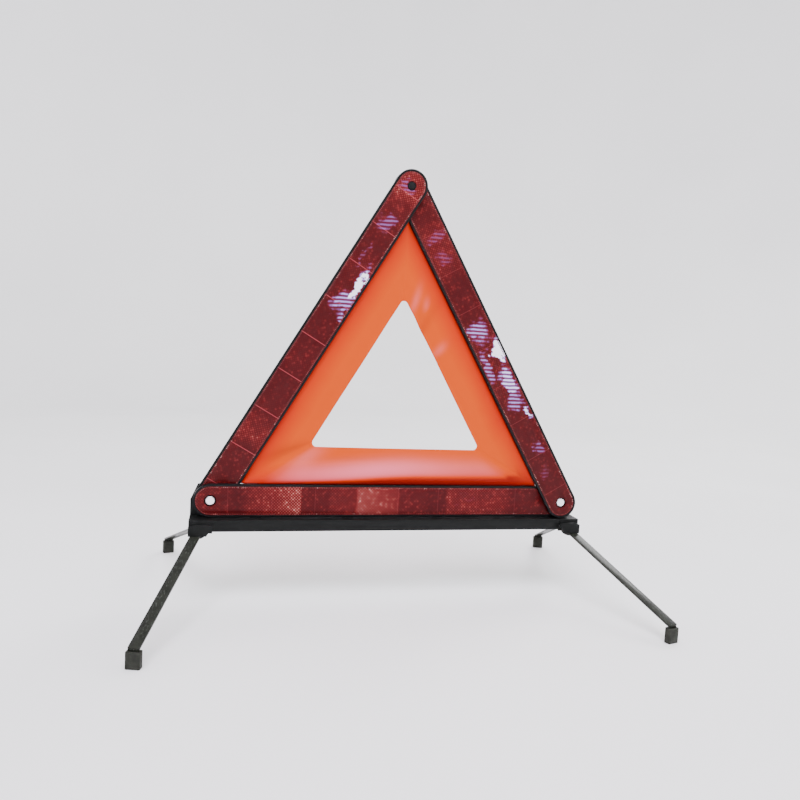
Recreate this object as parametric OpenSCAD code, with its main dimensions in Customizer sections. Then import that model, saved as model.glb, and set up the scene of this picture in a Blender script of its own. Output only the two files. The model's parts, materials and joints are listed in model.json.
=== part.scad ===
// Folding warning triangle on four legs.
// Three reflector arms form the triangle, a fluorescent foil fills it, and a base rail carries the legs.
// Frame: X along the rail, -Y is the side that drivers see, Z up. The origin is on the ground,
// midway between the four feet.

/* [Triangle] */
// Distance between two corner pivots
pivot_span = 395; // [360:1:480]
// Width of a reflector arm
arm_width = 35; // [29:0.5:42]
// Front to back thickness of an arm tray
tray_depth = 5.4; // [5:0.1:7]
// Width of the tray rim around the lens
tray_rim = 2; // [1.6:0.1:3]
// Thickness of the tray floor
tray_floor = 2; // [1.8:0.1:3]
// Height of the corner pivots above the ground
pivot_height = 104; // [88:1:125]
// Clear gap between two stacked arms
arm_gap = 1.5; // [1.4:0.1:2.2]

/* [Lens] */
// Thickness of the prismatic lens plate
lens_depth = 3; // [2:0.1:3.2]
// Gap between the lens and its tray
lens_clearance = 0.2; // [0.1:0.05:0.4]
// Diameter of the lens hole around a rivet head or a boss
lens_hole = 12.4; // [11.6:0.1:14]
// Diameter of the lens hole around the top stud
stud_lens_hole = 9.6; // [9:0.1:12]

/* [Foil] */
// Width of the fluorescent band between the arms and the window
foil_band = 41; // [30:1:52]
// Thickness of the foil
foil_depth = 0.5; // [0.3:0.1:1]
// Corner radius of the window
window_radius = 4.5; // [4:1:14]
// Width of the strip that clamps the foil to an arm
strip_width = 5.4; // [4.4:0.1:6]
// Thickness of the clamping strip
strip_depth = 0.9; // [0.7:0.1:1]
// Rivets along one clamping strip
strip_rivets = 6; // [3:1:9]

/* [Rail] */
// Height of the base rail
rail_height = 12; // [10:0.5:16]
// Front to back depth of the base rail
rail_depth = 28; // [26:0.5:34]
// Wall of the base rail
rail_wall = 1.5; // [1.2:0.1:2]
// Gap between the bottom arm and the rail
rail_gap = 0.5; // [0.3:0.1:1]

/* [Legs] */
// Length of a leg from its pivot to its foot
leg_length = 167; // [140:1:180]
// Width of the leg strip
leg_width = 10; // [8:0.5:11]
// Thickness of the leg strip
leg_depth = 1.8; // [1.4:0.1:2.2]
// Turn of an open leg away from the folded place along the rail
leg_spread = 104.6; // [95:0.1:120]
// Ground to the top of a shoe
shoe_height = 15; // [12:0.5:18]
// Width of a shoe
shoe_width = 13; // [12:0.5:13]
// Thickness of a shoe
shoe_depth = 7; // [6:0.5:9]

/* [Hidden] */
$fn = 64;
half_span = pivot_span / 2;
pocket_depth = tray_depth - tray_floor;
layer = tray_depth + arm_gap;
// Distance between the two arm planes at the top corner. It grows with the slant of the arms.
top_offset = tray_depth + 0.3 + 0.044 * arm_width;
// Slant of a side arm: it leaves the stack at its pivot and meets the other arm at the top.
slant = (2 * layer + top_offset) / 2 / pivot_span;
open_angle = 60;
arm_radius = arm_width / 2;
lens_radius = arm_radius - tray_rim - lens_clearance;
rivet_radius = 2.4;
rivet_play = 0.08;
rivet_head_radius = 5;
rivet_head_depth = 1.8;
rivet_tail_radius = 4;
rivet_tail_depth = 0.8;
// Room under a head or a tail for the slant of the side arms
tilt_play = 0.06 + slant * rivet_head_radius;
boss_radius = 5.5;
washer_depth = 1;
stud_radius = 3;
stud_head_radius = 4;
stud_hole_radius = 3.6;
strip_rebate = strip_depth + 0.2;
strip_end = arm_width + 14;
strip_length = pivot_span - 2 * strip_end;
strip_rivet_radius = 1;
strip_head_radius = 1.9;
strip_head_depth = 0.4;

arm_bottom = pivot_height - arm_radius;
rail_top = arm_bottom - rail_gap;
rail_bottom = rail_top - rail_height;
rail_half_depth = rail_depth / 2;
hood_length = 24;
plug_length = 18;
plug_play = 0.2;
plate_depth = 3;
plate_front = layer + tray_depth / 2 + tilt_play + rivet_tail_depth + 0.4;
plate_back = plate_front + plate_depth;
plate_margin = 3;
housing_out = half_span + arm_radius + plate_margin;
rail_end = housing_out - hood_length;

lug_length = 12;
lug_depth = 4;
lug_drop = 9;
lug_play = 0.2;
lug_places = [-0.38, -0.13, 0.13, 0.38];
screw_radius = 1.4;
screw_play = 0.15;
screw_head_radius = 2.6;
screw_head_depth = 1.4;
screw_height = rail_bottom + 6;

eye_radius = leg_width / 2 + 1.5;
disc_radius = eye_radius + 1;
hub_x = housing_out - disc_radius - 2;
hub_y = disc_radius + 2.2;
hub_z = rail_bottom - 1.2;
disc_depth = 2.2;
disc_gap = 0.7;
leg_rivet_radius = 2;
leg_rivet_play = 0.08;
leg_rivet_grip = 7;
leg_head_radius = 3.6;
leg_head_depth = 1.2;
shoe_wall = 2;
shoe_floor = 2.5;
shoe_play = 0.15;
// Height of the strip's underside where it turns down into the shoe
ankle_height = shoe_height + 1.2;
// The hub planes slope so that an open leg reaches the ground and a folded one lies along the rail.
hub_slope = asin((hub_z - ankle_height - leg_depth / 2) / (leg_length * sin(leg_spread)));
hood_reach = 5;
seat_drop = 4;

// Axes of the side arms, tilted by the slant so that folded arms lie parallel
left_axis = [-slant / 2, 1, slant * sin(open_angle)];
right_axis = [-slant / 2, 1, -slant * sin(open_angle)];

// ---------- shapes that repeat ----------

// A cylinder along Y from y0 to y1
module along_y(y0, y1, r) {
    translate([0, y1, 0]) rotate([90, 0, 0]) cylinder(r = r, h = y1 - y0);
}

// A bar with round ends, from the origin to length along X, front to back from y0 to y1
module round_bar(length, radius, y0, y1) {
    translate([0, y1, 0]) rotate([90, 0, 0]) linear_extrude(y1 - y0) {
        translate([0, -radius]) square([length, 2 * radius]);
        circle(radius);
        translate([length, 0]) circle(radius);
    }
}

// Places along the clamping strip
function strip_place(i) = strip_end + strip_length * (i + 0.5) / strip_rivets;

// An arm tray lying along X from its pivot. inner is the side that faces the foil: 1 is up, -1 is down.
module tray(inner, pivot_boss, far_boss) {
    difference() {
        union() {
            difference() {
                round_bar(pivot_span, arm_radius, -tray_depth / 2, tray_depth / 2);
                round_bar(pivot_span, arm_radius - tray_rim, -tray_depth / 2 - 1, pocket_depth - tray_depth / 2);
            }
            if (pivot_boss) along_y(-tray_depth / 2, pocket_depth - tray_depth / 2 + 0.5, boss_radius);
            if (far_boss) translate([pivot_span, 0, 0])
                along_y(-tray_depth / 2, pocket_depth - tray_depth / 2 + 0.5, boss_radius);
        }
        // Rebate in the back for the foil hem and its clamping strip
        translate([strip_end - 0.3, tray_depth / 2 - strip_rebate, inner > 0 ? arm_radius - strip_width - 0.6 : -arm_radius - 1])
            cube([strip_length + 0.6, strip_rebate + 1, strip_width + 1.6]);
        for (i = [0 : strip_rivets - 1])
            translate([strip_place(i), 0, inner * (arm_radius - strip_width / 2 - 0.3)])
                along_y(-tray_depth, tray_depth, strip_rivet_radius + 0.05);
    }
}

// The lens plate of an arm
module lens(pivot_hole, far_hole) {
    difference() {
        round_bar(pivot_span, lens_radius, pocket_depth - tray_depth / 2 - lens_depth, pocket_depth - tray_depth / 2);
        along_y(-tray_depth, tray_depth, pivot_hole / 2);
        translate([pivot_span, 0, 0]) along_y(-tray_depth, tray_depth, far_hole / 2);
    }
}

// The strip that clamps the foil hem in the rebate of a tray
module foil_strip(inner) {
    difference() {
        translate([strip_end, tray_depth / 2 - strip_depth, inner * (arm_radius - strip_width / 2 - 0.3) - strip_width / 2])
            cube([strip_length, strip_depth, strip_width]);
        for (i = [0 : strip_rivets - 1])
            translate([strip_place(i), 0, inner * (arm_radius - strip_width / 2 - 0.3)])
                along_y(-tray_depth, tray_depth, strip_rivet_radius + 0.05);
    }
}

// Small rivets along a clamping strip, with their heads at the back
module strip_rivet_row(inner) {
    for (i = [0 : strip_rivets - 1])
        translate([strip_place(i), 0, inner * (arm_radius - strip_width / 2 - 0.3)]) {
            along_y(pocket_depth - tray_depth / 2 + 0.1, tray_depth / 2 + 0.05, strip_rivet_radius);
            along_y(tray_depth / 2, tray_depth / 2 + strip_head_depth, strip_head_radius);
        }
}

// ---------- places ----------

// The bottom arm runs along X from the left pivot
module at_bottom() {
    translate([-half_span, 0, pivot_height]) children();
}

// The left arm: behind the bottom arm at its pivot, in front of the right arm at the top
module at_left() {
    translate([-half_span, layer, pivot_height]) rotate(a = -open_angle, v = left_axis) children();
}

// The right arm: in front of the bottom arm at its pivot, behind the left arm at the top
module at_right() {
    translate([half_span, -layer, pivot_height]) rotate(a = open_angle, v = right_axis)
        mirror([1, 0, 0]) children();
}

// A corner pin lies along the hinge axis of its side arm, with the seam of its surface turned down
module along_axis(axis) {
    lean = cross([0, 1, 0], axis);
    rotate(a = atan2(norm(lean), axis[1]), v = lean) rotate([0, 90, 0]) children();
}

module at_left_pin() {
    translate([-half_span, layer, pivot_height]) along_axis(left_axis) children();
}

module at_right_pin() {
    translate([half_span, -layer, pivot_height]) along_axis(right_axis) children();
}

// A leg hub: side -1 is left, end -1 is front. Local Z is the pivot axis and local X is the folded leg.
module at_hub(side, end) {
    translate([side * hub_x, end * hub_y, hub_z]) rotate([-end * hub_slope, 0, 0])
        mirror([side > 0 ? 1 : 0, 0, 0]) mirror([0, end > 0 ? 1 : 0, 0]) children();
}

// ---------- base ----------

module base_rail() {
    color("#1c1f1e") difference() {
        translate([-rail_end, -rail_half_depth, rail_bottom]) cube([2 * rail_end, rail_depth, rail_height]);
        translate([-rail_end - 1, -rail_half_depth + rail_wall, rail_bottom - 1])
            cube([2 * rail_end + 2, rail_depth - 2 * rail_wall, rail_height - rail_wall + 1]);
        for (place = lug_places) {
            translate([place * pivot_span - lug_length / 2 - lug_play, -lug_depth / 2 - lug_play, rail_top - rail_wall - 1])
                cube([lug_length + 2 * lug_play, lug_depth + 2 * lug_play, rail_wall + 2]);
            translate([place * pivot_span, 0, screw_height])
                along_y(0, rail_half_depth + 1, screw_radius + screw_play);
        }
        for (side = [-1, 1], step = [0.3, 0.75])
            translate([side * (rail_end - step * plug_length), 0, screw_height])
                along_y(0, rail_half_depth + 1, screw_radius + screw_play);
    }
}

// Outline of the plate behind a corner, seen from the front, for the left side
module plate_outline() {
    slope_x = (arm_radius + plate_margin) * sin(open_angle);
    polygon([
        [-housing_out, rail_bottom],
        [-housing_out, pivot_height - 1.5],
        [-half_span - slope_x + 4.6, pivot_height + (arm_radius + plate_margin) * cos(open_angle) + 5],
        [-half_span + 8, pivot_height + arm_radius - 2],
        [-half_span + 26, pivot_height + arm_radius - 2],
        [-half_span + 26, rail_top + plug_play],
        [-rail_end, rail_top + plug_play],
        [-rail_end, rail_bottom]
    ]);
}

// A corner housing: plate, end block, plug for the rail and hoods over the leg slots. Drawn for the left.
module housing() {
    difference() {
        union() {
            translate([0, plate_back, 0]) rotate([90, 0, 0]) linear_extrude(plate_depth) plate_outline();
            translate([-housing_out, -rail_half_depth, rail_bottom - seat_drop])
                cube([housing_out - rail_end, rail_depth, rail_height + seat_drop]);
            translate([-rail_end - 0.01, -rail_half_depth + rail_wall + plug_play, rail_bottom])
                cube([plug_length + 0.01, rail_depth - 2 * rail_wall - 2 * plug_play, rail_height - rail_wall - plug_play]);
            for (end = [-1, 1]) hood(end);
        }
        for (end = [-1, 1]) at_hub(-1, end) {
            // Sloping seat for the leg, cut right through below the hub plane
            translate([-60, -60, -30]) cube([120, 60 + hub_y / cos(hub_slope) - 0.01, 30 + leg_depth / 2 + 0.1]);
            cylinder(r = leg_rivet_radius + 0.05, h = leg_rivet_grip + 0.3);
        }
        for (step = [0.3, 0.75])
            translate([-rail_end + step * plug_length, 0, screw_height])
                along_y(2, rail_half_depth + 1, screw_radius + 0.05);
    }
}

// The hood over an open leg: a wedge on the end block that thins out along the rail
module hood(end) {
    mirror([0, end > 0 ? 1 : 0, 0])
        translate([-housing_out, -rail_half_depth + 0.01, 0]) rotate([90, 0, 0])
            linear_extrude(hood_reach)
                polygon([
                    [0, rail_bottom - seat_drop],
                    [0, rail_bottom + 6.5],
                    [6, rail_bottom + 8.5],
                    [hood_length, rail_bottom + 8],
                    [hood_length, rail_bottom + 5.5],
                    [hood_length - 6, rail_bottom - seat_drop]
                ]);
}

module left_housing() {
    color("#181b1c") housing();
}

module right_housing() {
    color("#181b1c") mirror([1, 0, 0]) housing();
}

module bottom_tray() {
    color("#121314") difference() {
        at_bottom() {
            tray(1, false, true);
            for (place = lug_places)
                translate([half_span + place * pivot_span - lug_length / 2, -lug_depth / 2, -arm_radius - lug_drop])
                    cube([lug_length, lug_depth, lug_drop + 1]);
        }
        for (place = lug_places)
            translate([place * pivot_span, 0, screw_height]) along_y(-lug_depth, lug_depth, screw_radius + 0.05);
        at_left_pin() along_y(-3 * layer, 3 * layer, rivet_radius);
        at_right_pin() along_y(-3 * layer, 3 * layer, rivet_radius);
    }
}

module bottom_lens() {
    color("#9c1420") at_bottom() lens(lens_hole, lens_hole);
}

module bottom_foil_strip() {
    color("#1a1b1c") at_bottom() foil_strip(1);
}

module bottom_strip_rivets() {
    color("#b9bcc0") at_bottom() strip_rivet_row(1);
}

// A corner rivet: its head sits on the floor of the front tray, its tail behind the rear tray
module corner_rivet(front_layer) {
    floor_front = front_layer + pocket_depth - tray_depth / 2;
    tail = front_layer + layer + tray_depth / 2;
    along_y(floor_front - tilt_play - rivet_head_depth, floor_front - tilt_play, rivet_head_radius);
    along_y(floor_front - tilt_play - 0.1, tail + tilt_play + 0.1, rivet_radius);
    along_y(tail + tilt_play, tail + tilt_play + rivet_tail_depth, rivet_tail_radius);
}

module left_pivot_rivet() {
    color("#e4e6ea") at_left_pin() corner_rivet(-layer);
}

module right_pivot_rivet() {
    color("#e4e6ea") at_right_pin() corner_rivet(0);
}

module pivot_washer(back) {
    along_y(back, back + washer_depth, boss_radius - 0.5);
}

module pivot_washers() {
    color("#c9ccd0") difference() {
        union() {
            translate([-half_span, 0, pivot_height]) pivot_washer(tray_depth / 2);
            translate([half_span, 0, pivot_height]) pivot_washer(-tray_depth / 2 - washer_depth);
        }
        at_left_pin() along_y(-3 * layer, 3 * layer, rivet_radius + rivet_play);
        at_right_pin() along_y(-3 * layer, 3 * layer, rivet_radius + rivet_play);
    }
}

// A self-tapping screw from the back of the rail, reaching forward to y = tip
module rail_screw(tip) {
    along_y(tip, rail_half_depth + 0.05, screw_radius);
    along_y(rail_half_depth, rail_half_depth + screw_head_depth, screw_head_radius);
}

module tray_screws() {
    color("#b9bcc0") for (place = lug_places)
        translate([place * pivot_span, 0, screw_height]) rail_screw(-lug_depth / 2);
}

module housing_screws() {
    color("#b9bcc0") for (side = [-1, 1], step = [0.3, 0.75])
        translate([side * (rail_end - step * plug_length), 0, screw_height]) rail_screw(3);
}

// ---------- leg hubs and legs ----------

module hub_disc(side, end) {
    color("#151718") at_hub(side, end) difference() {
        translate([0, 0, -leg_depth / 2 - disc_gap - disc_depth]) cylinder(r = disc_radius, h = disc_depth);
        translate([0, 0, -20]) cylinder(r = leg_rivet_radius + 0.05, h = 40);
    }
}

module leg_pivot_rivets() {
    color("#c9ccd0") for (side = [-1, 1], end = [-1, 1]) at_hub(side, end) {
        below = -leg_depth / 2 - disc_gap - disc_depth;
        translate([0, 0, below - 0.05]) cylinder(r = leg_rivet_radius, h = leg_rivet_grip - below);
        translate([0, 0, below - 0.05 - leg_head_depth]) cylinder(r = leg_head_radius, h = leg_head_depth + 0.01);
    }
}

module leg_washers() {
    color("#c9ccd0") for (side = [-1, 1], end = [-1, 1]) at_hub(side, end) difference() {
        translate([0, 0, -leg_depth / 2 - disc_gap + 0.1]) cylinder(r = leg_rivet_radius + 2.5, h = disc_gap - 0.2);
        translate([0, 0, -10]) cylinder(r = leg_rivet_radius + leg_rivet_play, h = 20);
    }
}

// Plan direction of an open leg and the place of its foot, for a hub drawn as front left
foot_along = leg_length * cos(leg_spread);
foot_out = leg_length * sin(leg_spread) * cos(hub_slope);
foot_turn = atan2(-foot_out, foot_along);

// Stands children on the ground under the end of a leg, with local X along the leg in plan
module at_foot(side, end) {
    translate([side * hub_x, end * hub_y, 0]) mirror([side > 0 ? 1 : 0, 0, 0]) mirror([0, end > 0 ? 1 : 0, 0])
        translate([foot_along, -foot_out, 0]) rotate(foot_turn) children();
}

module leg(side, end) {
    color("#3c403c") {
        at_hub(side, end) rotate(-leg_spread) difference() {
            union() {
                translate([0, 0, -leg_depth / 2]) cylinder(r = eye_radius, h = leg_depth);
                translate([0, -leg_width / 2, -leg_depth / 2]) cube([leg_length, leg_width, leg_depth]);
            }
            translate([0, 0, -5]) cylinder(r = leg_rivet_radius + leg_rivet_play, h = 10);
        }
        at_foot(side, end)
            translate([-leg_depth, -leg_width / 2, shoe_floor + shoe_play])
                cube([leg_depth, leg_width, ankle_height + leg_depth / 2 - shoe_floor]);
    }
}

module shoe(side, end) {
    color("#161817") at_foot(side, end) difference() {
        translate([-leg_depth / 2, 0, 0]) linear_extrude(shoe_height) shoe_outline();
        translate([-leg_depth - shoe_play, -leg_width / 2 - shoe_play, shoe_floor])
            cube([leg_depth + 2 * shoe_play, leg_width + 2 * shoe_play, shoe_height]);
    }
}

// Rectangle with round corners for a shoe
module shoe_outline() {
    corner = 1.5;
    square([shoe_depth - 2 * corner, shoe_width], center = true);
    square([shoe_depth, shoe_width - 2 * corner], center = true);
    for (x = [-1, 1], y = [-1, 1])
        translate([x * (shoe_depth / 2 - corner), y * (shoe_width / 2 - corner)]) circle(corner);
}

// ---------- foil ----------

// Corner of a triangle inside the pivots, inset by a distance, in the plane of the triangle
function inset_corner(k, inset) = let (
    corners = [[-half_span, 0], [half_span, 0], [0, pivot_span * sin(60)]],
    centre = [0, pivot_span * sin(60) / 3]
) centre + (corners[k] - centre) * (1 - inset * 2 / norm(corners[k] - centre));

module window_outline() {
    inset = arm_radius + foil_band;
    round_centres = [for (k = [0 : 2]) inset_corner(k, inset + window_radius)];
    polygon([
        for (k = [0 : 2], s = [0 : 8])
            let (turn = (k == 0 ? 150 : k == 1 ? 270 : 30) + s * 15)
                round_centres[k] + window_radius * [cos(turn), sin(turn)]
    ]);
}

// Flat fluorescent panel that follows the mean plane of the three arms, clear of their inner edges
module foil() {
    back = tray_depth / 2 - strip_rebate;
    side = arm_radius + 0.8;
    foot_x = half_span - arm_radius / tan(60) - side / sin(60);
    color("#f0502a") translate([0, back, pivot_height])
        multmatrix([[1, 0, 0, 0], [-layer / pivot_span, 1, 0, 0], [0, 0, 1, 0]])
            translate([0, foil_depth / 2, 0]) rotate([90, 0, 0]) linear_extrude(foil_depth) difference() {
                polygon([[-foot_x, arm_radius], [foot_x, arm_radius], [0, half_span * tan(60) - 2 * side]]);
                window_outline();
            }
}

// ---------- side arms ----------

module left_tray() {
    color("#121314") difference() {
        at_left() difference() {
            tray(-1, true, false);
            translate([pivot_span, 0, 0]) along_y(-tray_depth, tray_depth, stud_hole_radius);
        }
        at_left_pin() along_y(-3 * layer, 3 * layer, rivet_radius + rivet_play);
    }
}

module left_lens() {
    color("#9c1420") at_left() lens(lens_hole, stud_lens_hole);
}

module left_foil_strip() {
    color("#1a1b1c") at_left() foil_strip(-1);
}

module left_strip_rivets() {
    color("#b9bcc0") at_left() strip_rivet_row(-1);
}

module right_tray() {
    color("#121314") difference() {
        at_right() difference() {
            tray(-1, false, false);
            translate([pivot_span, 0, 0]) along_y(-tray_depth, tray_depth, stud_radius);
        }
        at_right_pin() along_y(-3 * layer, 3 * layer, rivet_radius + rivet_play);
    }
}

module right_lens() {
    color("#9c1420") at_right() lens(lens_hole, lens_hole);
}

module right_foil_strip() {
    color("#1a1b1c") at_right() foil_strip(-1);
}

module right_strip_rivets() {
    color("#b9bcc0") at_right() strip_rivet_row(-1);
}

// The stud stands on the floor of the right tray and snaps through the left tray
module top_stud() {
    floor_front = pocket_depth - tray_depth / 2;
    reach = floor_front - top_offset;
    color("#17181a") at_right() translate([pivot_span, 0, 0]) {
        along_y(floor_front - 1.6, floor_front - 0.02, boss_radius);
        along_y(reach - 2.6, floor_front, stud_radius);
        along_y(reach - 3, reach - 1, stud_head_radius);
        along_y(floor_front - 0.03, tray_depth / 2, stud_radius - 0.05);
    }
}

base_rail();
left_housing();
right_housing();
bottom_tray();
bottom_lens();
bottom_foil_strip();
bottom_strip_rivets();
left_pivot_rivet();
right_pivot_rivet();
pivot_washers();
tray_screws();
housing_screws();
hub_disc(-1, -1);  // front_left_hub_disc
hub_disc(1, -1);  // front_right_hub_disc
hub_disc(-1, 1);  // rear_left_hub_disc
hub_disc(1, 1);  // rear_right_hub_disc
leg_pivot_rivets();
leg_washers();
foil();
left_tray();
left_lens();
left_foil_strip();
left_strip_rivets();
right_tray();
right_lens();
right_foil_strip();
right_strip_rivets();
top_stud();
leg(-1, -1);  // front_left_leg
leg(1, -1);  // front_right_leg
leg(-1, 1);  // rear_left_leg
leg(1, 1);  // rear_right_leg
shoe(-1, -1);  // front_left_shoe
shoe(1, -1);  // front_right_shoe
shoe(-1, 1);  // rear_left_shoe
shoe(1, 1);  // rear_right_shoe
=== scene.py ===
# %% [markdown]
# # A folding warning triangle
# The real triangle is three black plastic trays with red prismatic reflectors in them, a fluorescent
# film stretched between the trays, and a plastic base rail on four fold-out steel legs.
# The engineering model fixes every size and every joint. This lesson adds what the eye needs on top:
# moulded edges, prisms, rivets, a slack film, and the finish of each surface.
# The first cell loads that model. Everything is in metres, with Z up and the viewer on the -Y side.

import json
import math

import bmesh
import bpy
import numpy as np
from mathutils import Matrix, Vector


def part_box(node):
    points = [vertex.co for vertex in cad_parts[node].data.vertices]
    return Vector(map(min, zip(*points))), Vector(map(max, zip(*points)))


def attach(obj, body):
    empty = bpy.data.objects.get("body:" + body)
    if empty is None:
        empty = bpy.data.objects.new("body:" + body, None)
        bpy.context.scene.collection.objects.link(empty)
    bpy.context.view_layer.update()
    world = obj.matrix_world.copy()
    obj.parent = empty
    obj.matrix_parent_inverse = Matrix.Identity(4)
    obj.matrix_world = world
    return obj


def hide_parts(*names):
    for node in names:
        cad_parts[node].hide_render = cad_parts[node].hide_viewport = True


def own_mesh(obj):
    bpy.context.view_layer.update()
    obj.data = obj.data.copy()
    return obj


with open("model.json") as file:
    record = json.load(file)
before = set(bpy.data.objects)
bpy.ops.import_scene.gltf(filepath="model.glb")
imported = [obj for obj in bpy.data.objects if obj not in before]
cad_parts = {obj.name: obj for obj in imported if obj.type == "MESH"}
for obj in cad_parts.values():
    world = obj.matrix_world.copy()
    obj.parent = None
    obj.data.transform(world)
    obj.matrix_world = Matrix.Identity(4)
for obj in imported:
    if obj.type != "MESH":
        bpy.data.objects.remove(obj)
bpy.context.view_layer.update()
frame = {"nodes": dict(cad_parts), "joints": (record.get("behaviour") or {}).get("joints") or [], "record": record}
NODES = frame["nodes"]
BODIES = frame["record"]["behaviour"]["bodies"]
BODY_OF = {node: body for body, nodes in BODIES.items() for node in nodes}
SLOT_OF = {part["node"]: part["material_slot"] for part in frame["record"]["subparts"]}
MM = 0.001

# %% [markdown]
# ## Camera
# The camera stands low and a little to the left, close enough for the front feet to look larger than
# the rear ones. It is placed by where it looks: a target in the plane of the triangle, a distance,
# and three angles. The matrix is built from those, so no rotation order has to be remembered.

# %% Camera
CAMERA_YAW = math.radians(13.22)
CAMERA_PITCH = math.radians(4.77)
CAMERA_ROLL = math.radians(3.12)
CAMERA_DISTANCE = 787.1 * MM
CAMERA_TARGET = Vector((0.95 * MM, 0, 216.5 * MM))
FOCAL_LENGTH = 32.24  # millimetres
SENSOR_WIDTH = 36     # millimetres

forward = Vector((
    math.sin(CAMERA_YAW) * math.cos(CAMERA_PITCH),
    math.cos(CAMERA_YAW) * math.cos(CAMERA_PITCH),
    -math.sin(CAMERA_PITCH)))
level = Vector((math.cos(CAMERA_YAW), -math.sin(CAMERA_YAW), 0))
upward = level.cross(forward)
right = level * math.cos(CAMERA_ROLL) + upward * math.sin(CAMERA_ROLL)
top = upward * math.cos(CAMERA_ROLL) - level * math.sin(CAMERA_ROLL)

lens_data = bpy.data.cameras.new("camera")
lens_data.lens = FOCAL_LENGTH
lens_data.sensor_width = SENSOR_WIDTH
camera = bpy.data.objects.new("camera", lens_data)
turn = Matrix((right, top, -forward)).transposed()
camera.matrix_world = Matrix.Translation(CAMERA_TARGET - forward * CAMERA_DISTANCE) @ turn.to_4x4()
bpy.context.scene.collection.objects.link(camera)
bpy.context.scene.camera = camera
print("camera at", [round(v / MM) for v in camera.matrix_world.translation])

# %% [markdown]
# ## Colours and nodes
# A colour given as a hex code is an sRGB value, and a shader counts in linear light, so one function turns
# a hex code into linear numbers. A second one adds a shader node with its settings and its links in
# one line. Plain values go on sockets, and a socket in place of a value makes a link.
# The short functions after them name the few steps that all the materials here are made of.

# %% Colour and node helpers
def colour(code):
    """Linear RGBA from an sRGB hex code."""
    channels = [int(code[i:i + 2], 16) / 255 for i in (1, 3, 5)]
    return (*[c / 12.92 if c <= 0.04045 else ((c + 0.055) / 1.055) ** 2.4 for c in channels], 1.0)


def add(tree, kind, inputs=None, **settings):
    """Adds a node of a kind to a tree, with settings on the node and values or links on its inputs."""
    made = tree.nodes.new(kind)
    for name, value in settings.items():
        setattr(made, name, value)
    for socket, value in (inputs or {}).items():
        if isinstance(value, bpy.types.NodeSocket):
            tree.links.new(value, made.inputs[socket])
        else:
            made.inputs[socket].default_value = value
    return made


def blank_material(name):
    """A material with an empty node tree; returns both."""
    material = bpy.data.materials.new(name)
    material.use_nodes = True
    material.node_tree.nodes.clear()
    return material, material.node_tree


def principled(tree, looks):
    """Ends a material's tree with a Principled shader that has these looks."""
    shader = add(tree, "ShaderNodeBsdfPrincipled", looks)
    add(tree, "ShaderNodeOutputMaterial", {"Surface": shader.outputs["BSDF"]})


# %% Steps that materials share
NOISE_BAND = (0.3, 0.7)  # nearly all values of a noise lie in here


def object_place(tree):
    """The place on the object, in metres."""
    return add(tree, "ShaderNodeTexCoord").outputs["Object"]


def noise(tree, where, size, detail, **more):
    """The grey value of a noise with blotches of a size in millimetres."""
    return add(tree, "ShaderNodeTexNoise", {
        "Vector": where, "Scale": 1 / (size * MM), "Detail": detail, **more}).outputs["Fac"]


def ramp(tree, value, *pairs):
    """A colour ramp over a value, from (position, hex or grey) pairs; returns its colour."""
    made = add(tree, "ShaderNodeValToRGB", {"Fac": value})
    elements = made.color_ramp.elements
    while len(elements) < len(pairs):
        elements.new(1.0)
    for element, (position, shade) in zip(elements, pairs):
        element.position = position
        element.color = colour(shade) if isinstance(shade, str) else (shade, shade, shade, 1.0)
    return made.outputs["Color"]


def blend(tree, share, first, second):
    """Mixes two colours, each a socket or a hex code, by a share."""
    pair = [colour(c) if isinstance(c, str) else c for c in (first, second)]
    return add(tree, "ShaderNodeMixRGB", {
        "Fac": share, "Color1": pair[0], "Color2": pair[1]}).outputs["Color"]


def remap(tree, value, source, target):
    """Carries a (low, high) range of a value over to another range, and stops at its ends."""
    return add(tree, "ShaderNodeMapRange", {
        "Value": value, "From Min": source[0], "From Max": source[1],
        "To Min": target[0], "To Max": target[1]}).outputs["Result"]


def clamped(tree, value):
    """A value held between 0 and 1."""
    return add(tree, "ShaderNodeClamp", {"Value": value}).outputs[0]


def relief(tree, height, depth, strength):
    """The normal of a surface with small bumps, whose depth is in millimetres."""
    return add(tree, "ShaderNodeBump", {
        "Height": height, "Distance": depth * MM, "Strength": strength}).outputs["Normal"]


def chain(tree, start, *steps):
    """Runs a value through Math nodes, each given as (operation, second value)."""
    for operation, other in steps:
        start = add(tree, "ShaderNodeMath", {0: start, 1: other}, operation=operation).outputs[0]
    return start


def vector_math(tree, operation, *values):
    """One Vector Math node; returns its vector, or its number for LENGTH."""
    made = add(tree, "ShaderNodeVectorMath", dict(enumerate(values)), operation=operation)
    return made.outputs["Value" if operation == "LENGTH" else "Vector"]

# %% [markdown]
# ## Moulded black plastic
# The trays are injection-moulded polystyrene, and the rail and housings are a tougher ABS with a
# greenish black. A mould is spark-eroded, which leaves a fine matt grain, and handling
# polishes it in patches. So one function makes both: a grain bump of a fraction of a millimetre,
# a slow change of roughness over centimetres, and slightly paler dust in places.

# %% Moulded plastic
def moulded_plastic(name, dark, pale, grain, matt):
    """Black moulded plastic: two shades, grain in millimetres, and a (low, high) roughness."""
    material, tree = blank_material(name)
    place = object_place(tree)
    patches = noise(tree, place, 35, 4.0)
    erosion = noise(tree, place, grain, 2.0)
    principled(tree, {
        "Base Color": blend(tree, patches, dark, pale),
        "Roughness": remap(tree, patches, NOISE_BAND, matt),
        "IOR": 1.54, "Specular IOR Level": 0.12, "Normal": relief(tree, erosion, 0.05, 0.35)})
    return material


tray_polystyrene = moulded_plastic("moulded_polystyrene", "#0a0a0b", "#121214", 0.6, (0.4, 0.55))
rail_abs = moulded_plastic("moulded_abs", "#0a0b0a", "#121413", 0.8, (0.42, 0.6))

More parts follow.
